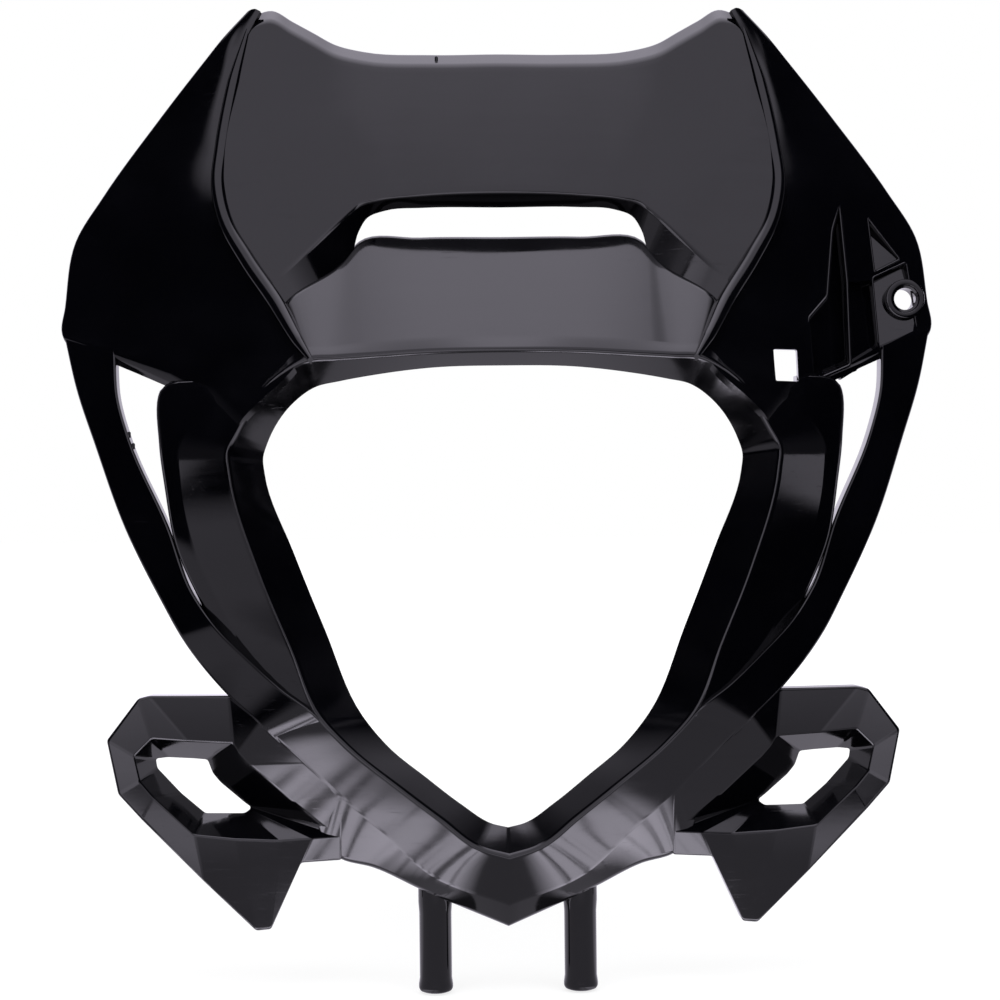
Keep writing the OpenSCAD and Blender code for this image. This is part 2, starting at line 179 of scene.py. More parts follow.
# ---------------------------------------------------------------- curves and sheets


def unit(v):
    return v / np.maximum(np.linalg.norm(v, axis=-1, keepdims=True), 1e-9)


def curve(rail, steps, first=None):
    """A smooth curve through the rail's points, with the given number of steps between them."""
    rail = np.asarray(rail, float)
    span = np.diff(rail, axis=0)
    length = np.linalg.norm(span, axis=-1, keepdims=True)
    way = span / np.maximum(length, 1e-6)
    turn = np.empty_like(rail)
    turn[0], turn[-1] = way[0], way[-1]
    turn[1:-1] = (way[:-1] * length[1:] + way[1:] * length[:-1]) / np.maximum(
        length[1:] + length[:-1], 1e-6)
    if first is not None:
        turn[0] = first
    points = []
    for i in range(len(span)):
        p, q, m, n, d = rail[i], rail[i + 1], turn[i], turn[i + 1], length[i]
        for t in np.arange(steps) / steps:
            points.append(p * (2 * t**3 - 3 * t * t + 1) + q * (3 * t * t - 2 * t**3)
                          + m * d * (t**3 - 2 * t * t + t) + n * d * (t**3 - t * t))
    points.append(rail[-1])
    return np.array(points)


def flipped(points):
    return np.asarray(points, float) * (-1, 1, 1)


def loop(half):
    return np.concatenate([half, flipped(half[-2:0:-1])])


def whole(half):
    return np.concatenate([flipped(half[:0:-1]), half])


def back_by(rail, depth):
    return np.asarray(rail, float) + (0, depth, 0)


def behind(rows, wall, closed):
    """The rows moved back by the wall's thickness, square to the faces around each point."""
    grid = np.asarray(rows, float)
    after = np.roll(grid, -1, axis=1)
    cell = unit(np.cross(after[1:] - grid[:-1], grid[1:] - after[:-1]))
    if not closed:
        cell = cell[:, :-1]
    around = np.zeros(grid.shape)
    near = [[[] for _ in range(grid.shape[1])] for _ in range(grid.shape[0])]
    for i in range(cell.shape[0]):
        for j in range(cell.shape[1]):
            for a in (i, i + 1):
                for b in (j, (j + 1) % grid.shape[1]):
                    near[a][b].append(cell[i, j])
                    around[a, b] += cell[i, j]
    normal = unit(around)
    for i in range(grid.shape[0]):
        for j in range(grid.shape[1]):
            lean = np.mean([normal[i, j] @ c for c in near[i][j]])
            grid[i, j] -= normal[i, j] * wall / max(lean, 0.6)
    return grid


def rounded(rows, radii, arc=4):
    """Rows across a section, with each corner that has a radius turned into a short arc."""
    made = [rows[0]]
    for k in range(1, len(rows) - 1):
        if not radii[k]:
            made.append(rows[k])
            continue
        corner = rows[k]
        a, c = rows[k - 1] - corner, rows[k + 1] - corner
        la = np.linalg.norm(a, axis=-1, keepdims=True)
        lc = np.linalg.norm(c, axis=-1, keepdims=True)
        reach = np.minimum(radii[k], 0.45 * np.minimum(la, lc))
        a = corner + a / np.maximum(la, 1e-6) * reach
        c = corner + c / np.maximum(lc, 1e-6) * reach
        for s in np.linspace(0, 1, arc + 1):
            made.append((1 - s) ** 2 * a + 2 * s * (1 - s) * corner + s * s * c)
    made.append(rows[-1])
    return made


def rounded_loop(rail, radius, arc=3):
    """A closed rail with its corners turned into short arcs."""
    rail = [np.asarray(p, float) for p in rail]
    ring = [rail[-1], *rail, rail[0]]
    return np.array(rounded(ring, [0] + [radius] * len(rail) + [0], arc)[1:-1])


def sheet(front, back, closed):
    """Points and faces of a closed wall between a front and a back grid of rows."""
    r, c = len(front), len(front[0])
    points = np.concatenate([np.reshape(front, (-1, 3)), np.reshape(back, (-1, 3))])
    n, last = r * c, c if closed else c - 1
    faces, inside = [], []
    for i in range(r - 1):
        for j in range(last):
            k = (j + 1) % c
            faces.append((i * c + j, (i + 1) * c + j, (i + 1) * c + k, i * c + k))
            inside.append(tuple(n + q for q in reversed(faces[-1])))
    e = (r - 1) * c
    for j in range(last):
        k = (j + 1) % c
        faces.append((j, k, n + k, n + j))
        faces.append((e + k, e + j, n + e + j, n + e + k))
    if not closed:
        for i in range(r - 1):
            a, b = i * c, i * c + c - 1
            faces.append((a, n + a, n + a + c, a + c))
            faces.append((b + c, n + b + c, n + b, b))
    return points, faces, inside


def tube(rings):
    r, c = len(rings), len(rings[0])
    faces = [(i * c + j, i * c + (j + 1) % c, (i + 1) * c + (j + 1) % c, (i + 1) * c + j)
             for i in range(r - 1) for j in range(c)]
    faces += [tuple(reversed(range(c))), tuple((r - 1) * c + j for j in range(c))]
    return np.reshape(rings, (-1, 3)), faces, []


def lathe(profile, closed, segments=64):
    """Points and faces of a profile of (radius, height) turned about Z."""
    points, faces, c = [], [], len(profile)
    for s in range(segments):
        a = 2 * math.pi * s / segments
        points += [(r * math.cos(a), r * math.sin(a), z) for r, z in profile]
    for s in range(segments):
        t = (s + 1) % segments
        for j in range(c if closed else c - 1):
            k = (j + 1) % c
            faces.append((s * c + j, t * c + j, t * c + k, s * c + k))
    if not closed:
        faces.append(tuple(s * c for s in reversed(range(segments))))
        faces.append(tuple(s * c + c - 1 for s in range(segments)))
    return np.array(points), faces, []


def prism(low, high):
    """A closed solid between two outlines with the same number of points."""
    c = len(low)
    faces = [(j, (j + 1) % c, c + (j + 1) % c, c + j) for j in range(c)]
    faces += [tuple(reversed(range(c))), tuple(range(c, 2 * c))]
    return np.concatenate([low, high]), faces, []


# ---------------------------------------------------------------- pieces


def body(name, parts, sharp=SHARP_ANGLE, both=False):
    """A mesh object in metres from parts in drawn millimetres; both adds the mirror image."""
    mesh = bpy.data.meshes.new(name)
    points, faces, backs = [], [], set()
    for part in parts:
        for side in ((1, -1) if both else (1,)):
            start = len(points)
            points += [((x * side) * MM, (y - PEG_Y) * MM, (z - SEAT_Z) * MM)
                       for x, y, z in part[0]]
            for group, inner in ((part[1], False), (part[2], True)):
                for face in group:
                    if inner:
                        backs.add(len(faces))
                    faces.append([start + q for q in (face if side > 0 else reversed(face))])
    mesh.from_pydata(points, [], faces)
    for i, poly in enumerate(mesh.polygons):
        poly.material_index = 1 if i in backs else 0
    work = bmesh.new()
    work.from_mesh(mesh)
    bmesh.ops.remove_doubles(work, verts=work.verts, dist=MERGE_GAP * MM)
    bmesh.ops.dissolve_degenerate(work, edges=work.edges, dist=SLIVER_GAP * MM)
    bmesh.ops.recalc_face_normals(work, faces=work.faces)
    work.to_mesh(mesh)
    work.free()
    for name_of in ("gloss_shell", "satin_back"):
        mesh.materials.append(bpy.data.materials[name_of])
    piece = bpy.data.objects.new(name, mesh)
    bpy.context.scene.collection.objects.link(piece)
    shade(piece, sharp)
    return piece


def shade(piece, sharp):
    mesh = piece.data
    mesh.polygons.foreach_set("use_smooth", [True] * len(mesh.polygons))
    mesh.set_sharp_from_angle(angle=math.radians(sharp))


def combine(piece, tools, operation, crossing=True):
    """Joins solids to a piece, or cuts them out of it, and removes the tools."""
    for tool in tools:
        step = piece.modifiers.new("cut", "BOOLEAN")
        step.operation, step.solver, step.object = operation, "EXACT", tool
        step.use_self = crossing
    graph = bpy.context.evaluated_depsgraph_get()
    made = bpy.data.meshes.new_from_object(piece.evaluated_get(graph))
    piece.modifiers.clear()
    old, piece.data = piece.data, made
    made.name = old.name
    bpy.data.meshes.remove(old)
    for tool in tools:
        bpy.data.objects.remove(tool)
    if not made.polygons:
        raise RuntimeError(f"nothing is left of {piece.name} after the cut")


def show(piece, edge=0.0, angle=SHARP_ANGLE):
    """Finishes a piece: soft edges, even shading, and its place on the part."""
    if edge:
        soft = piece.modifiers.new("soft_edges", "BEVEL")
        soft.width, soft.segments, soft.limit_method = edge * MM, 2, "ANGLE"
        soft.angle_limit = math.radians(angle)
        soft.harden_normals = True
    even = piece.modifiers.new("even_shading", "WEIGHTED_NORMAL")
    even.keep_sharp = True
    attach(piece, "root")
    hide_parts("cowl")


def lens_surround(s):
    rails = [np.array([row[k] for row in RING], float) for k in range(4)]
    lens = rails[0] + np.outer(BEZEL_SHARE, (0, s.bezel_depth / MM, 0))
    halves = [curve(r, CURVE_STEPS, (1, 0, 0)) for r in (lens, *rails[1:])]
    rows = [loop(h) for h in halves]
    rows.append(back_by(rows[-1], s.flange / MM))
    back = behind(rows, s.wall / MM, True)
    soft = s.edge_round / MM
    radii = [0, soft * 1.6, soft * 0.8, soft * 2, 0]
    return sheet(rounded(rows, radii), rounded(list(back), radii), True)


def number_plate(s):
    top, low, under = (curve(r, PLATE_STEPS, (1, 0, 0))
                       for r in (PLATE_TOP, PLATE_LOW, PLATE_UNDER))
    share = np.linspace(0, 1, len(top))[:, None]
    fold_h, fold_back, bulge = 5.5, 7, 16
    rows = [under]
    for i in range(PLATE_ROWS, -1, -1):
        t = i / PLATE_ROWS
        shift = bulge * math.sin(math.pi * t**1.2)
        rows.append((top - (0, 0, fold_h)) * (1 - t) + low * t + share * (shift, 0, 0))
    fold = back_by(top, fold_back)
    rows += [fold, back_by(fold, s.flange / MM / 2)]
    rows = [whole(r) for r in rows]
    back = behind(rows, s.wall / MM, False)
    soft = s.edge_round / MM
    radii = [0, soft] + [0] * (PLATE_ROWS - 1) + [soft * 1.6, soft * 1.6, 0]
    return sheet(rounded(rows, radii), rounded(list(back), radii), False)


def ridge_bead(s):
    square, crown, count = 0.85, 0.6, 9
    line = curve(BEAD, CURVE_STEPS)
    share = curve([[v, 0, 0] for v in BEAD_SHARE], CURVE_STEPS)[:, 0]
    way = unit(np.gradient(line, axis=0))
    side = unit(np.cross((0, -1, 0), way))
    out = np.cross(way, side)
    rings = []
    for i in range(len(line)):
        w, h = s.bead_width / MM / 2 * share[i], s.bead_height / MM * share[i]
        shape = [(-w, -s.wall / MM)]
        for a in np.linspace(180, 0, count):
            x, y = math.cos(math.radians(a)), math.sin(math.radians(a))
            shape.append((w * math.copysign(abs(x) ** square, x),
                          h * y**crown if y > 0 else 0))
        shape.append((w, -s.wall / MM))
        rings.append([line[i] + side[i] * u + out[i] * v for u, v in shape])
    return tube(rings)


def wing(s):
    rails = [curve([row[k] for row in WING], CURVE_STEPS) for k in range(4)]
    across = np.transpose([curve([r[j] for r in rails], ACROSS_STEPS)
                           for j in range(len(rails[0]))], (1, 0, 2))
    rows = [*across, back_by(across[-1], s.flange / MM)]
    back = behind(rows, s.wall / MM, False)
    radii = [0] * (len(rows) - 2) + [s.edge_round / MM, 0]
    return sheet(rounded(rows, radii), rounded(list(back), radii), False)


def strut(s):
    outer, inner = (curve([row[k] for row in STRUT], CURVE_STEPS) for k in range(2))
    d = s.flange / MM
    rows = [back_by(inner, d), inner, outer, back_by(outer, d)]
    back = behind(rows, s.wall / MM, False)
    radii = [0, s.edge_round / MM, s.edge_round / MM, 0]
    return sheet(rounded(rows, radii), rounded(list(back), radii), False)


def winglet(s):
    rails = [np.array([row[k] for row in WINGLET], float) for k in range(3)]
    raw = [back_by(rails[0], s.vent_depth / MM), rails[1], rails[2],
           back_by(rails[2], s.flange / MM)]
    back = behind(raw, s.wall / MM, True)
    soft = s.edge_round / MM
    radii = [0, soft * 0.6, soft, 0]
    front_rows = [rounded_loop(r, soft * 0.8) for r in raw]
    back_rows = [rounded_loop(r, soft * 0.8) for r in back]
    return sheet(rounded(front_rows, radii), rounded(back_rows, radii), True)


# Plane of the wing around the pocket, through three points of its rows
PLANE_AT = np.array(WING[6][1], float)
ALONG, ABOVE = np.array(WING[6][3]) - PLANE_AT, np.array(WING[5][2]) - PLANE_AT
TURN = ALONG[0] * ABOVE[2] - ALONG[2] * ABOVE[0]
SWEEP = (ALONG[1] * ABOVE[2] - ALONG[2] * ABOVE[1]) / TURN
LEAN = (ALONG[0] * ABOVE[1] - ALONG[1] * ABOVE[0]) / TURN


def on_plane(x, z, depth):
    return (x, PLANE_AT[1] + SWEEP * (x - PLANE_AT[0]) + LEAN * (z - PLANE_AT[2]) + depth, z)


def grown(outline, by):
    """An outline moved out by a distance, with mitred corners."""
    p = np.array(outline, float)
    area = np.sum(p[:, 0] * np.roll(p[:, 1], -1) - np.roll(p[:, 0], -1) * p[:, 1])
    way = unit(np.roll(p, -1, axis=0) - p)
    out = np.stack([way[:, 1], -way[:, 0]], axis=1) * (1 if area > 0 else -1)
    before = np.roll(out, 1, axis=0)
    miter = unit(out + before)
    lean = np.maximum(np.sum(miter * out, axis=1, keepdims=True), 0.5)
    return p + miter * by / lean


def slab(outline, front, back, grow=0.0, flare=1.0, corner=0.0, turn=(0.0, 0.0)):
    """A solid along the wing's plane, with a floor that leans by turn across and upward."""
    outline = np.array(outline, float)
    middle = outline.mean(axis=0)
    near = grown(outline, grow) if grow else outline
    if corner:
        near = rounded_loop([(x, 0, z) for x, z in near], corner)[:, (0, 2)]
    far = middle + (near - middle) / flare
    return prism(np.array([on_plane(
        x, z, back + turn[0] * (x - middle[0]) + turn[1] * (z - middle[1])) for x, z in far]),
                 np.array([on_plane(x, z, front) for x, z in near]))


def recess_rim(outline, height):
    """A thin raised bead along the edge of a recess."""
    corner, spread, count = 1.2, 1.3, 10
    path = rounded_loop([(x, 0, z) for x, z in outline], corner)
    line = np.array([on_plane(x, z, 0) for x, _, z in path])
    way = unit(np.roll(line, -1, axis=0) - np.roll(line, 1, axis=0))
    out = unit(np.array((SWEEP, -1, LEAN)))
    side = unit(np.cross(out, way))
    rings = [[p + out * height * math.sin(a) + q * height * spread * math.cos(a)
              for a in np.linspace(0, 2 * math.pi, count, endpoint=False)]
             for p, q in zip(line, side)]
    c, n = len(rings[0]), len(rings)
    faces = []
    for i in range(n):
        here, there = i * c, (i + 1) % n * c
        for j in range(c):
            k = (j + 1) % c
            faces.append((here + j, here + k, there + k, there + j))
    return np.reshape(rings, (-1, 3)), faces, []


def at_screw(part, depth):
    """A turned part moved to the screw, with its height running rearward."""
    points = np.array([(x, z, -y) for x, y, z in part[0]])
    return points + on_plane(*SCREW_AT, depth), part[1], part[2]


def window_block(s):
    """The solid that cuts the window, from ahead of the wing to behind it."""
    corner, near, far = 0.6, 2, 60
    w, h = s.window_width / MM / 2, s.window_height / MM / 2
    x, z = WINDOW_AT
    ring = [(-w, -h), (w, -h), (w, h), (-w, h)]
    ring = rounded_loop([(x + a, 0, z + b) for a, b in ring], corner)
    return prism(ring + (0, near, 0), ring + (0, far, 0))


def peg(s):
    """A turned peg with a lip at its tip and a root in the chin, and its rib."""
    top, lip, centre, segments = -126.0, 0.35, 0.01, 48
    rib_front, rib_low = 11, top - 8
    r, tip = s.peg_diameter / MM / 2, CHIN_Z - s.peg_reach / MM
    root, seam = r + s.root_step / MM, CHIN_Z + s.root_rise / MM
    x, w = s.peg_spacing / MM / 2, s.wall / MM / 2
    arc = [(r - 2 + 2 * math.sin(a), tip + 2 - 2 * math.cos(a))
           for a in np.linspace(0, math.pi / 2, 7)]
    arc = [(a + lip if a > r - 1 else a, z) for a, z in arc]
    profile = [(centre, tip), *arc, (r + lip, tip + 3), (r, tip + 5.5), (r, CHIN_Z - 2),
               (r, seam - 2), (root, seam + 2), (root, top - 1), (r - 1, top), (centre, top)]
    points, faces, _ = lathe(profile, False, segments)
    points = points + (x, PEG_Y, 0)
    side = [(x - w, rib_front, rib_low), (x - w, PEG_Y, rib_low), (x - w, PEG_Y, top),
            (x - w, rib_front, top)]
    rib = prism(np.array(side), np.array(side) + (2 * w, 0, 0))
    return [(points, faces, []), rib]


def gate_nubs():
    """Small stubs left by the moulding's gates, on the plate's top and one strut."""
    made = []
    for place in NUBS:
        points, faces, _ = lathe(NUB_PROFILE, False, 12)
        made.append((points + place, faces, []))
    return made


# ---------------------------------------------------------------- finishes


def group(name, inputs, outputs):
    tree = bpy.data.node_groups.new(name, "ShaderNodeTree")
    for label, kind, value in inputs:
        socket = tree.interface.new_socket(name=label, in_out="INPUT", socket_type=kind)
        if value is not None:
            socket.default_value = value
    for label, kind in outputs:
        tree.interface.new_socket(name=label, in_out="OUTPUT", socket_type=kind)
    return tree, tree.nodes.new("NodeGroupInput"), tree.nodes.new("NodeGroupOutput")


def node(tree, kind, inputs=None, **settings):
    made = tree.nodes.new(kind)
    for key, value in settings.items():
        setattr(made, key, value)
    for key, value in (inputs or {}).items():
        if isinstance(value, bpy.types.NodeSocket):
            tree.links.new(value, made.inputs[key])
        else:
            made.inputs[key].default_value = value
    return made


def maths(tree, operation, a, b=0.0, clamp=False):
    return node(tree, "ShaderNodeMath", {0: a, 1: b}, operation=operation,
                use_clamp=clamp).outputs[0]


def product(tree, first, *others):
    for other in others:
        first = maths(tree, "MULTIPLY", first, other)
    return first


def highest(tree, first, *others):
    for other in others:
        first = maths(tree, "MAXIMUM", first, other)
    return first


def ramp(tree, value, low, high, out_low=0.0, out_high=1.0):
    return node(tree, "ShaderNodeMapRange", {"Value": value, "From Min": low, "From Max": high,
                "To Min": out_low, "To Max": out_high}).outputs["Result"]


def noise(tree, where, scale, detail=2.0, rough=0.5):
    return node(tree, "ShaderNodeTexNoise", {"Vector": where, "Scale": scale,
                "Detail": detail, "Roughness": rough}).outputs["Fac"]


def moulded_surface():
    """Height of a moulded face: slow sink and sway of the wall, flow lines and fine peel."""
    tree, start, end = group(
        "Moulded Surface",
        [("Position", "NodeSocketVector", None), ("Sway", "NodeSocketFloat", 1.0),
         ("Flow", "NodeSocketFloat", 1.0), ("Peel", "NodeSocketFloat", 1.0)],
        [("Height", "NodeSocketFloat"), ("Flow Mask", "NodeSocketFloat")])
    at = start.outputs["Position"]
    slow = maths(tree, "MULTIPLY", noise(tree, at, 17.0, 1.0), start.outputs["Sway"])
    drawn = node(tree, "ShaderNodeMapping", {"Vector": at, "Rotation": (0.0, 0.35, 0.0),
                 "Scale": (6.0, 6.0, 46.0)}).outputs["Vector"]
    lines = noise(tree, drawn, 3.0, 3.0, 0.55)
    flow_share, peel_share = 0.035, 0.0025
    flow = product(tree, lines, flow_share, start.outputs["Flow"])
    peel = product(tree, noise(tree, at, 900.0, 1.0), peel_share, start.outputs["Peel"])
    height = maths(tree, "ADD", maths(tree, "ADD", slow, flow), peel)
    tree.links.new(height, end.inputs["Height"])
    tree.links.new(ramp(tree, lines, 0.4, 0.66), end.inputs["Flow Mask"])


def handling_marks():
    """Masks of fine wiping scratches, small specks and settled dust."""
    tree, start, end = group(
        "Handling Marks",
        [("Position", "NodeSocketVector", None), ("Scratches", "NodeSocketFloat", 1.0),
         ("Dust", "NodeSocketFloat", 1.0)],
        [("Scratch Mask", "NodeSocketFloat"), ("Dust Mask", "NodeSocketFloat")])
    at = start.outputs["Position"]
    marks = None
    for turn, stretch in ((0.5, 12.0), (-0.8, 16.0)):
        lay = node(tree, "ShaderNodeMapping", {"Vector": at, "Rotation": (0.0, turn, 0.0),
                   "Scale": (stretch, 60.0, 420.0)}).outputs["Vector"]
        fine = ramp(tree, noise(tree, lay, 4.0, 2.0, 0.6), 0.665, 0.71)
        marks = fine if marks is None else maths(tree, "MAXIMUM", marks, fine)
    patch = ramp(tree, noise(tree, at, 22.0, 2.0), 0.46, 0.62)
    marks = maths(tree, "MULTIPLY", maths(tree, "MULTIPLY", marks, patch),
                  start.outputs["Scratches"], True)
    facing = node(tree, "ShaderNodeSeparateXYZ", {
        "Vector": node(tree, "ShaderNodeNewGeometry").outputs["Normal"]}).outputs["Z"]
    up = ramp(tree, facing, 0.1, 0.95)
    specks = ramp(tree, noise(tree, at, 1500.0, 1.0, 0.4), 0.66, 0.74)
    film = ramp(tree, noise(tree, at, 60.0, 4.0, 0.6), 0.35, 0.75)
    film_share, speck_share = 0.35, 0.25
    dust = maths(tree, "ADD", product(tree, film, up, film_share),
                 product(tree, specks, speck_share))
    dust = maths(tree, "MULTIPLY", dust, start.outputs["Dust"], True)
    tree.links.new(marks, end.inputs["Scratch Mask"])
    tree.links.new(dust, end.inputs["Dust Mask"])


def plastic(name, colour, roughness, spread, sway, flow, peel, scratches, dust, lift):
    """A moulded black plastic with its own gloss, sway and marks."""
    material = bpy.data.materials.new(name)
    material.use_nodes = True
    tree = material.node_tree
    shader = tree.nodes["Principled BSDF"]
    at = node(tree, "ShaderNodeTexCoord").outputs["Object"]
    surface = node(tree, "ShaderNodeGroup", node_tree=bpy.data.node_groups["Moulded Surface"])
    marks = node(tree, "ShaderNodeGroup", node_tree=bpy.data.node_groups["Handling Marks"])
    for holder, values in ((surface, {"Sway": sway, "Flow": flow, "Peel": peel}),
                           (marks, {"Scratches": scratches, "Dust": dust})):
        tree.links.new(at, holder.inputs["Position"])
        for key, value in values.items():
            holder.inputs[key].default_value = value
    cloud = ramp(tree, noise(tree, at, 30.0, 3.0), 0.3, 0.7)
    tint = node(tree, "ShaderNodeMix", {
        "Factor": cloud, "A": (*colour, 1.0), "B": (*(c * 1.5 + 0.0002 for c in colour), 1.0)},
        data_type="RGBA")
    dusted = node(tree, "ShaderNodeMix", {
        "Factor": marks.outputs["Dust Mask"], "A": tint.outputs["Result"],
        "B": DUST_COLOUR}, data_type="RGBA")
    tree.links.new(dusted.outputs["Result"], shader.inputs["Base Color"])
    rough = maths(tree, "ADD", ramp(tree, cloud, 0, 1, roughness, roughness + spread),
                  maths(tree, "MULTIPLY", surface.outputs["Flow Mask"], spread))
    scratch_rough, dust_rough = 0.22, 0.5
    rough = maths(tree, "ADD", rough,
                  maths(tree, "MULTIPLY", marks.outputs["Scratch Mask"], scratch_rough))
    rough = maths(tree, "ADD", rough,
                  maths(tree, "MULTIPLY", marks.outputs["Dust Mask"], dust_rough), True)
    tree.links.new(rough, shader.inputs["Roughness"])
    bump = node(tree, "ShaderNodeBump", {"Height": surface.outputs["Height"], "Distance": MM,
                "Strength": lift})
    tree.links.new(bump.outputs["Normal"], shader.inputs["Normal"])
    shader.inputs["IOR"].default_value = PLASTIC_IOR


def backdrop_material(name, tone, glow):
    """A pale floor, white to the camera with its shadow kept, with bright patches in gloss."""
    material = bpy.data.materials.new(name)
    material.use_nodes = True
    tree = material.node_tree
    tree.nodes.clear()
    flat = node(tree, "ShaderNodeBsdfDiffuse", {"Color": (tone, tone, tone, 1.0)})
    path = node(tree, "ShaderNodeLightPath")
    seen = maths(tree, "MAXIMUM", path.outputs["Is Camera Ray"],
                 path.outputs["Is Transmission Ray"])
    at = node(tree, "ShaderNodeTexCoord").outputs["Object"]
    far = node(tree, "ShaderNodeVectorMath", {0: at}, operation="LENGTH")
    reach = ramp(tree, far.outputs["Value"], 0.3, 1.6, glow, 1.0)
    light = node(tree, "ShaderNodeEmission", {
        "Color": WHITE, "Strength": maths(tree, "MULTIPLY", seen, reach)})
    pale = node(tree, "ShaderNodeAddShader", {0: flat.outputs[0], 1: light.outputs[0]})
    place = node(tree, "ShaderNodeSeparateXYZ", {"Vector": at})
    across, depth = place.outputs["X"], place.outputs["Y"]
    wide = maths(tree, "ABSOLUTE", across)
    # What gloss sees of the floor: behind the part, ahead of it, off to one side, and one
    # streaked patch near it that only steep rays meet
    behind_level, near_level, far_level, side_level, patch_level = 0.9, 0.5, 2.0, 0.55, 5.5
    behind_part = ramp(tree, depth, -0.015, 0.02, 0.0, behind_level)
    ahead = product(tree, ramp(tree, depth, -0.16, -0.5, near_level, far_level),
                    ramp(tree, wide, 0.25, 0.31, 1.0, 0.0))
    streaks = node(tree, "ShaderNodeMapping", {"Vector": at, "Scale": (110.0, 3.0, 1.0)})
    uneven = ramp(tree, noise(tree, streaks.outputs["Vector"], 1.0, 2.0, 0.6), 0.4, 0.48, 0.2)
    steep = node(tree, "ShaderNodeSeparateXYZ", {
        "Vector": node(tree, "ShaderNodeNewGeometry").outputs["Incoming"]}).outputs["Z"]
    patch = product(tree, ramp(tree, wide, 0.022, 0.036),
                    ramp(tree, across, 0.11, 0.13, 1.0, 0.0), ramp(tree, across, -0.2, -0.17),
                    ramp(tree, depth, -0.13, -0.1), ramp(tree, depth, 0.0, -0.015),
                    ramp(tree, steep, 0.36, 0.46), uneven, patch_level)
    side = product(tree, ramp(tree, across, -0.33, -0.45, 0.0, side_level),
                   ramp(tree, across, -1.5, -0.9))
    shine = highest(tree, behind_part, ahead, patch, side)
    gloss = node(tree, "ShaderNodeEmission", {"Color": STUDIO_TINT, "Strength": shine})
    both = node(tree, "ShaderNodeMixShader", {
        0: path.outputs["Is Glossy Ray"], 1: pale.outputs[0], 2: gloss.outputs[0]})
    node(tree, "ShaderNodeOutputMaterial", {"Surface": both.outputs[0]})
    return material


# ---------------------------------------------------------------- settings


class CowlSizes(bpy.types.PropertyGroup):
    """Sizes that a user of the cowl may change"""
    wall: FloatProperty(name="Wall", description="Thickness of the moulding",
                        default=0.0028, min=0.001, max=0.006, unit="LENGTH")
    flange: FloatProperty(name="Flange", description="Width of the turned-back edges",
                          default=0.008, min=0.003, max=0.02, unit="LENGTH")
    edge_round: FloatProperty(name="Edge Rounding", description="How far the edges are rounded",
                              default=0.0012, min=0.0002, max=0.004, unit="LENGTH")
    bezel_depth: FloatProperty(name="Bezel Depth", description="Lens opening behind the rim",
                               default=0.013, min=0.004, max=0.03, unit="LENGTH")
    vent_depth: FloatProperty(name="Vent Depth", description="Depth of the winglet vents",
                              default=0.013, min=0.004, max=0.03, unit="LENGTH")
    bead_width: FloatProperty(name="Bead Width", description="Width of the ridge bead",
                              default=0.005, min=0.002, max=0.01, unit="LENGTH")
    bead_height: FloatProperty(name="Bead Height", description="Height of the ridge bead",
                               default=0.0025, min=0.001, max=0.006, unit="LENGTH")
    pocket_depth: FloatProperty(name="Pocket Depth", description="Depth of the wing's pocket",
                                default=0.007, min=0.002, max=0.012, unit="LENGTH")
    seat_depth: FloatProperty(name="Seat Depth", description="Depth of the seat of the boss",
                              default=0.002, min=0.0005, max=0.005, unit="LENGTH")
    screw_diameter: FloatProperty(name="Screw Hole", description="Diameter of the screw hole",
                                  default=0.0084, min=0.004, max=0.012, unit="LENGTH")
    boss_diameter: FloatProperty(name="Boss", description="Diameter of the screw boss",
                                 default=0.015, min=0.01, max=0.02, unit="LENGTH")
    boss_height: FloatProperty(name="Boss Height", description="Height of the boss on its seat",
                               default=0.0032, min=0.001, max=0.006, unit="LENGTH")
    window_width: FloatProperty(name="Window Width", description="Width of the small window",
                                default=0.0095, min=0.005, max=0.015, unit="LENGTH")
    window_height: FloatProperty(name="Window Height", description="Height of the small window",
                                 default=0.012, min=0.006, max=0.018, unit="LENGTH")
    peg_diameter: FloatProperty(name="Peg", description="Diameter of the locating pegs",
                                default=0.012, min=0.008, max=0.015, unit="LENGTH")
    peg_spacing: FloatProperty(name="Peg Spacing", description="Distance between the pegs",
                               default=0.054, min=0.04, max=0.07, unit="LENGTH")
    peg_reach: FloatProperty(name="Peg Reach", description="Pegs below the point of the chin",
                             default=0.025, min=0.015, max=0.04, unit="LENGTH")
    root_rise: FloatProperty(name="Root Rise", description="Peg roots above the chin's point",
                             default=0.0065, min=0.004, max=0.008, unit="LENGTH")
    root_step: FloatProperty(name="Root Step", description="How much thicker the roots are",
                             default=0.0003, min=0.0001, max=0.0015, unit="LENGTH")


class CowlFinish(bpy.types.PropertyGroup):
    """Colours and gloss of the moulding"""
    black: FloatVectorProperty(name="Black", description="Colour of the gloss faces",
                               default=(0.0009, 0.0009, 0.0017), min=0, max=1, subtype="COLOR")
    back_black: FloatVectorProperty(name="Back Black", description="Colour of the satin back",
                                    default=(0.012, 0.012, 0.013), min=0, max=1,
                                    subtype="COLOR")
    roughness: FloatProperty(name="Roughness", description="Roughness of the gloss faces",
                             default=0.06, min=0, max=1, subtype="FACTOR")
    sway: FloatProperty(name="Sway", description="Slow waves of the moulded wall",
                        default=0.22, min=0, max=3)


class CowlStudio(bpy.types.PropertyGroup):
    """Light and camera of the studio"""
    lens: FloatProperty(name="Lens", description="Focal length of the camera in millimetres",
                        default=75.0, min=20, max=200)
    top_light: FloatProperty(name="Top Light", description="Power of the large soft box",
                             default=6.0, min=0, max=200, unit="POWER")
    side_light: FloatProperty(name="Side Light", description="Power of each side strip",
                              default=1.6, min=0, max=100, unit="POWER")


# ---------------------------------------------------------------- operators


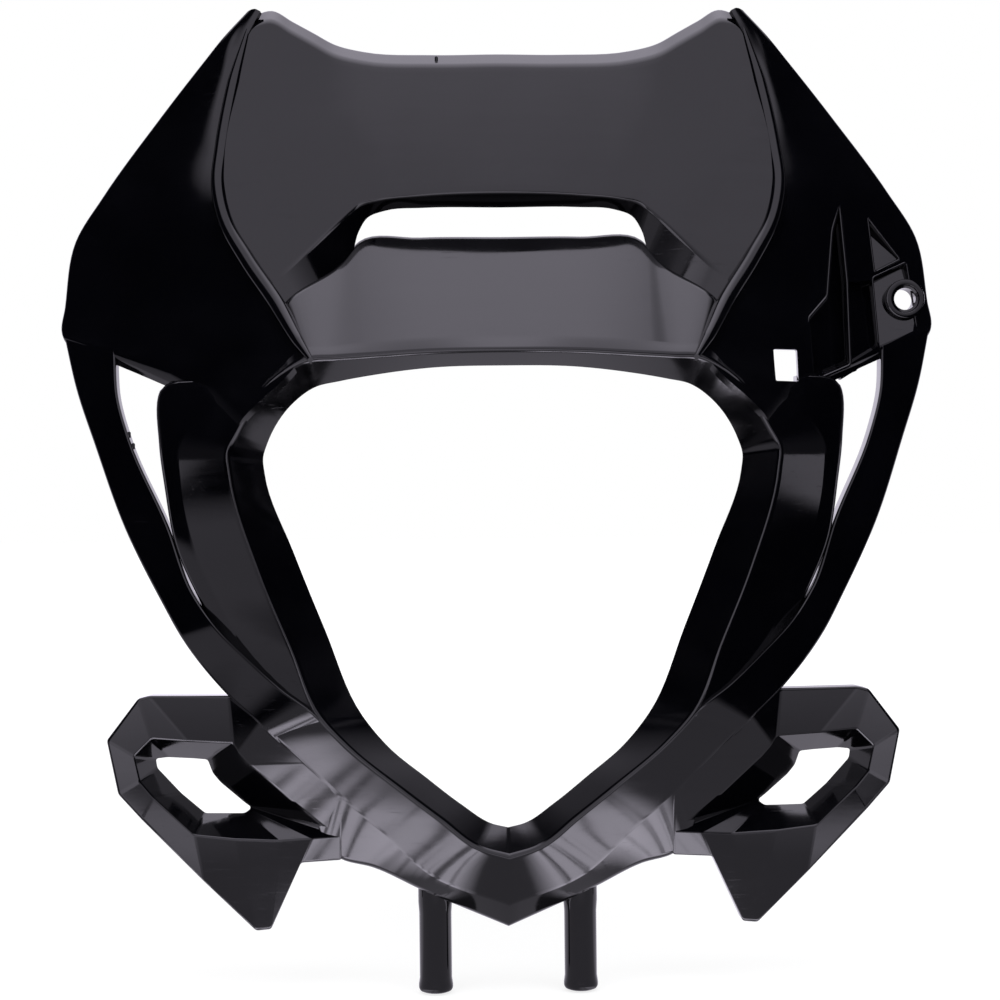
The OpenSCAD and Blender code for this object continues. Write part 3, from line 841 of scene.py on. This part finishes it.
class COWL_OT_finishes(bpy.types.Operator):
    """Make the gloss and satin plastics"""
    bl_idname = "cowl.make_finishes"
    bl_label = "Make Finishes"

    def execute(self, context):
        f = context.scene.cowl_finish
        moulded_surface()
        handling_marks()
        plastic("gloss_shell", f.black, f.roughness, spread=0.035, sway=f.sway, flow=0.8,
                peel=1.0, scratches=0.7, dust=0.05, lift=0.45)
        plastic("satin_back", f.back_black, 0.34, spread=0.12, sway=0.3, flow=1.0,
                peel=4.0, scratches=0.6, dust=0.5, lift=0.4)
        return {"FINISHED"}


class COWL_OT_lens_surround(bpy.types.Operator):
    """Make the bezel, rim, brow, side columns and chin"""
    bl_idname = "cowl.add_lens_surround"
    bl_label = "Add Lens Surround"

    def execute(self, context):
        s = context.scene.cowl_sizes
        piece = body("lens_surround", [lens_surround(s)])
        combine(piece, [body("window_block", [window_block(s)])], "DIFFERENCE")
        shade(piece, SHARP_ANGLE)
        show(piece)
        return {"FINISHED"}


class COWL_OT_number_plate(bpy.types.Operator):
    """Make the horned number plate above the slot"""
    bl_idname = "cowl.add_number_plate"
    bl_label = "Add Number Plate"

    def execute(self, context):
        show(body("number_plate", [number_plate(context.scene.cowl_sizes)]))
        return {"FINISHED"}


class COWL_OT_ridges(bpy.types.Operator):
    """Make the ridge beads beside the number plate"""
    bl_idname = "cowl.add_ridges"
    bl_label = "Add Ridge Beads"

    def execute(self, context):
        show(body("ridge_beads", [ridge_bead(context.scene.cowl_sizes)], both=True))
        return {"FINISHED"}


class COWL_OT_wings(bpy.types.Operator):
    """Make the wings, with the pocket, boss and window in one of them"""
    bl_idname = "cowl.add_wings"
    bl_label = "Add Wings"

    def execute(self, context):
        s = context.scene.cowl_sizes
        wall, deep, seat = s.wall / MM, s.pocket_depth / MM, s.seat_depth / MM
        points, faces, backs = wing(s)
        show(body("wing_left", [(flipped(points), [f[::-1] for f in faces],
                                 [f[::-1] for f in backs])]))
        piece = body("wing_right", [(points, faces, backs)])
        # The window is cut first and alone: together with the recesses it left a stray wall
        combine(piece, [body("window_block", [window_block(s)])], "DIFFERENCE", False)
        # Each recess with its depth and the lean of its floor, across and upward
        recesses = [(POCKET, deep, (0, 0.02)), (STEP, deep * 0.6, (-0.05, 0.05)),
                    (WEDGE, seat * 1.3, (-0.22, 0.08)), (SEAT, seat * 1.2, (-0.24, 0.1))]
        combine(piece, [body("backing", [slab(o, wall * 0.45, d + wall, wall, turn=t)])
                        for o, d, t in recesses], "UNION")
        cuts = [body("recess", [slab(o, -wall, d, 0, 1.12, 0.5, t)]) for o, d, t in recesses]
        r, b = s.screw_diameter / MM / 2, s.boss_diameter / MM / 2
        hole_gap, reach = 0.3, 40
        hole = lathe([(r + hole_gap, -reach), (r + hole_gap, reach)], False)
        cuts.append(body("hole", [at_screw(hole, 0)]))
        combine(piece, cuts, "DIFFERENCE")
        shade(piece, WING_ANGLE)
        show(piece, edge=0.5, angle=35)
        rims = [recess_rim(o, h) for o, h in ((POCKET, 0.5), (WEDGE, 0.3), (SEAT, 0.3))]
        show(body("recess_rims", rims, RIM_ANGLE))
        # The boss as (radius, depth behind its front face), back through the wall
        long = s.boss_height / MM + 2 * wall
        ring = [(r, long), (r, 1.1), (r + 0.9, 0.75), (r + 1.15, 0.15), (r + 1.4, 0),
                (b - 0.6, 0), (b - 0.18, 0.18), (b, 0.6), (b, long)]
        show(body("screw_boss", [at_screw(lathe(ring, True), seat / 2 - s.boss_height / MM)]))
        return {"FINISHED"}


class COWL_OT_struts(bpy.types.Operator):
    """Make the struts from the wings down to the chin"""
    bl_idname = "cowl.add_struts"
    bl_label = "Add Struts"

    def execute(self, context):
        show(body("struts", [strut(context.scene.cowl_sizes)], both=True))
        return {"FINISHED"}


class COWL_OT_winglets(bpy.types.Operator):
    """Make the vented winglets beside the chin"""
    bl_idname = "cowl.add_winglets"
    bl_label = "Add Winglets"

    def execute(self, context):
        show(body("winglets", [winglet(context.scene.cowl_sizes)], WINGLET_ANGLE, both=True))
        return {"FINISHED"}


class COWL_OT_pegs(bpy.types.Operator):
    """Make the two locating pegs with their ribs, and the gate nubs"""
    bl_idname = "cowl.add_pegs"
    bl_label = "Add Pegs"

    def execute(self, context):
        show(body("pegs", peg(context.scene.cowl_sizes), both=True))
        show(body("gate_nubs", gate_nubs()))
        return {"FINISHED"}


class COWL_OT_stage(bpy.types.Operator):
    """Make the pale floor, the soft boxes and the camera"""
    bl_idname = "cowl.add_stage"
    bl_label = "Add Stage"

    def execute(self, context):
        studio, scene = context.scene.cowl_studio, context.scene
        scene.view_settings.view_transform = "Standard"
        self.floor(CAD_BOX[0][2] - FLOOR_DROP)
        self.world(scene)
        self.box("top_box", (0, -0.8, 1.6), (0, 0, 0.3), 1.7, 0.6, studio.top_light)
        for side, name in ((-1, "left"), (1, "right")):
            self.box(f"{name}_box", (side * 0.8, -0.85, 1.25), (0, 0, 0.3), 0.85, 0.75,
                     studio.top_light * 0.6)
            self.box(f"{name}_strip", (side * 1.3, -0.1, 0.3), (0, 0, 0.15), 0.22, 0.9,
                     studio.side_light)
        self.camera(scene, studio.lens)
        return {"FINISHED"}

    def floor(self, level):
        mesh, h = bpy.data.meshes.new("floor"), FLOOR_HALF
        mesh.from_pydata([(-h, -h, level), (h, -h, level), (h, h, level), (-h, h, level)], [],
                         [(0, 1, 2, 3)])
        mesh.materials.append(backdrop_material("pale_floor", FLOOR_TONE, FLOOR_GLOW))
        floor = bpy.data.objects.new("floor", mesh)
        bpy.context.scene.collection.objects.link(floor)

    def world(self, scene):
        # What gloss sees: ahead low down on either side and high up, overhead, side and rear
        right_level, left_level, high_level, overhead = 0.5, 1.7, 1.15, 1.5
        side_level, rear_level, fill_level = 0.06, 0.9, 0.7
        scene.world = world = bpy.data.worlds.new("studio")
        world.use_nodes = True
        tree = world.node_tree
        back = tree.nodes["Background"]
        path = node(tree, "ShaderNodeLightPath")
        seen = maths(tree, "MAXIMUM", path.outputs["Is Camera Ray"],
                     path.outputs["Is Transmission Ray"])
        way = node(tree, "ShaderNodeSeparateXYZ", {
            "Vector": node(tree, "ShaderNodeTexCoord").outputs["Generated"]})
        wide = maths(tree, "ABSOLUTE", way.outputs["X"])
        low = ramp(tree, way.outputs["X"], 0.0, -0.08, right_level, left_level)
        high = ramp(tree, way.outputs["Z"], 0.0, 0.35)
        front = node(tree, "ShaderNodeMix", {"Factor": high, "A": low, "B": high_level})
        front = maths(tree, "ADD", front.outputs["Result"],
                      ramp(tree, way.outputs["Z"], 0.75, 0.97, 0.0, overhead))
        front = product(tree, front, ramp(tree, wide, 0.43, 0.52, 1.0, 0.0))
        side = ramp(tree, wide, 0.93, 0.99, 0.0, side_level)
        rear = ramp(tree, way.outputs["Y"], 0.16, 0.6, 0.0, rear_level)
        gloss = product(tree, highest(tree, front, side, rear), path.outputs["Is Glossy Ray"])
        fill = product(tree, path.outputs["Is Diffuse Ray"], fill_level)
        level = highest(tree, gloss, fill, seen)
        tree.links.new(level, back.inputs["Strength"])
        tint = node(tree, "ShaderNodeMix", {
            "Factor": path.outputs["Is Glossy Ray"], "A": WHITE, "B": STUDIO_TINT},
            data_type="RGBA")
        tree.links.new(tint.outputs["Result"], back.inputs["Color"])

    def box(self, name, place, target, width, height, power):
        """A soft box that gives diffuse light and shadow, and isn't seen in gloss."""
        lamp = bpy.data.lights.new(name, "AREA")
        lamp.shape, lamp.size, lamp.size_y, lamp.energy = "RECTANGLE", width, height, power
        lamp.color = LAMP_COLOUR
        holder = bpy.data.objects.new(name, lamp)
        holder.location = place
        holder.visible_glossy = False
        way = Vector(target) - Vector(place)
        holder.rotation_euler = way.to_track_quat("-Z", "Y").to_euler()
        bpy.context.scene.collection.objects.link(holder)

    def camera(self, scene, lens):
        data = bpy.data.cameras.new("camera")
        data.lens, data.sensor_width = lens, SENSOR_WIDTH
        data.clip_start, data.clip_end = CLIP_START, CLIP_END
        holder = bpy.data.objects.new("camera", data)
        yaw, roll = math.radians(CAMERA_YAW), math.radians(CAMERA_ROLL)
        ahead = Vector((math.sin(yaw), math.cos(yaw), 0))
        level = Vector((math.cos(yaw), -math.sin(yaw), 0))
        up = Vector((0, 0, 1))
        right = level * math.cos(roll) - up * math.sin(roll)
        above = up * math.cos(roll) + level * math.sin(roll)
        turn = Matrix((right, above, -ahead)).transposed().to_4x4()
        holder.matrix_world = Matrix.Translation(CAMERA_AT) @ turn
        scene.collection.objects.link(holder)
        scene.camera = holder


class COWL_PT_panel(bpy.types.Panel):
    """Sizes, finish and studio of the cowl"""
    bl_label = "Headlight Cowl"
    bl_idname = "COWL_PT_panel"
    bl_space_type = "VIEW_3D"
    bl_region_type = "UI"
    bl_category = "Cowl"

    def draw(self, context):
        for title, holder in (("Sizes", context.scene.cowl_sizes),
                              ("Finish", context.scene.cowl_finish),
                              ("Studio", context.scene.cowl_studio)):
            box = self.layout.box()
            box.label(text=title)
            for name in holder.__annotations__:
                box.prop(holder, name)
        for operator in OPERATORS:
            self.layout.operator(operator.bl_idname)


OPERATORS = (COWL_OT_finishes, COWL_OT_lens_surround, COWL_OT_number_plate, COWL_OT_ridges,
             COWL_OT_wings, COWL_OT_struts, COWL_OT_winglets, COWL_OT_pegs, COWL_OT_stage)
CLASSES = (CowlSizes, CowlFinish, CowlStudio, *OPERATORS, COWL_PT_panel)


def register():
    for item in CLASSES:
        bpy.utils.register_class(item)
    bpy.types.Scene.cowl_sizes = PointerProperty(type=CowlSizes)
    bpy.types.Scene.cowl_finish = PointerProperty(type=CowlFinish)
    bpy.types.Scene.cowl_studio = PointerProperty(type=CowlStudio)


def unregister():
    for name in ("cowl_studio", "cowl_finish", "cowl_sizes"):
        delattr(bpy.types.Scene, name)
    for item in reversed(CLASSES):
        bpy.utils.unregister_class(item)


def main():
    register()
    for operator in OPERATORS:
        space, name = operator.bl_idname.split(".")
        getattr(getattr(bpy.ops, space), name)()


if __name__ == "__main__":
    main()
